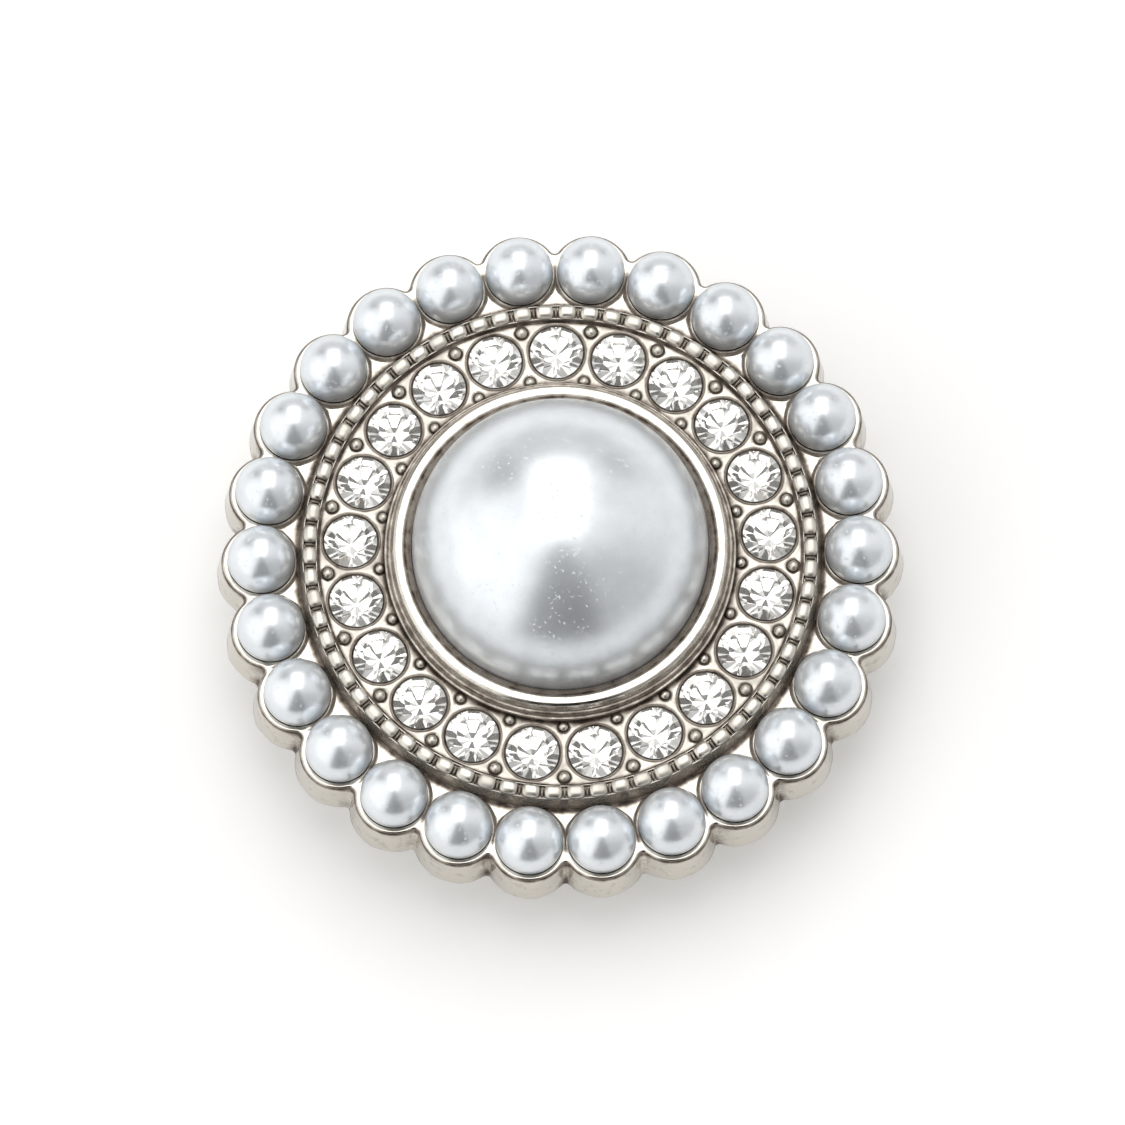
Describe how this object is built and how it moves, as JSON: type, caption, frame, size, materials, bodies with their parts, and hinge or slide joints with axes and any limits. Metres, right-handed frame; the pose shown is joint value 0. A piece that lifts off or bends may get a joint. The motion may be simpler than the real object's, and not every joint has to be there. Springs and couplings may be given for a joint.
{
  "type": "rhinestone shank button",
  "caption": "Round scalloped metal shank button with a half-round pearl in a bezel, a ring of clear faceted stones, a beaded border and a rim of small round pearls.",
  "frame": {"origin": "centre of the shank's eye", "axes": "+Z out of the button's face, along its axis; +X along the shank's eye, which is the way the thread runs"},
  "size_m": [0.0304, 0.0304, 0.0136],
  "materials": {
    "plated_casting": "polished warm nickel plating on zinc alloy, darker in the recesses",
    "centre_pearl": "glossy pearl coating, cool white",
    "rim_pearls": "glossy pearl coating, cool white",
    "stones": "clear faceted glass with a silver foil back"
  },
  "bodies": {
    "root": {"button_casting": "plated_casting", "centre_pearl": "centre_pearl", "rim_pearl_01": "rim_pearls", "rim_pearl_02": "rim_pearls", "rim_pearl_03": "rim_pearls", "rim_pearl_04": "rim_pearls", "rim_pearl_05": "rim_pearls", "rim_pearl_06": "rim_pearls", "rim_pearl_07": "rim_pearls", "rim_pearl_08": "rim_pearls", "rim_pearl_09": "rim_pearls", "rim_pearl_10": "rim_pearls", "rim_pearl_11": "rim_pearls", "rim_pearl_12": "rim_pearls", "rim_pearl_13": "rim_pearls", "rim_pearl_14": "rim_pearls", "rim_pearl_15": "rim_pearls", "rim_pearl_16": "rim_pearls", "rim_pearl_17": "rim_pearls", "rim_pearl_18": "rim_pearls", "rim_pearl_19": "rim_pearls", "rim_pearl_20": "rim_pearls", "rim_pearl_21": "rim_pearls", "rim_pearl_22": "rim_pearls", "rim_pearl_23": "rim_pearls", "rim_pearl_24": "rim_pearls", "rim_pearl_25": "rim_pearls", "rim_pearl_26": "rim_pearls", "rhinestone_01": "stones", "rhinestone_02": "stones", "rhinestone_03": "stones", "rhinestone_04": "stones", "rhinestone_05": "stones", "rhinestone_06": "stones", "rhinestone_07": "stones", "rhinestone_08": "stones", "rhinestone_09": "stones", "rhinestone_10": "stones", "rhinestone_11": "stones", "rhinestone_12": "stones", "rhinestone_13": "stones", "rhinestone_14": "stones", "rhinestone_15": "stones", "rhinestone_16": "stones", "rhinestone_17": "stones", "rhinestone_18": "stones", "rhinestone_19": "stones", "rhinestone_20": "stones", "rhinestone_21": "stones"}
  },
  "joints": []
}
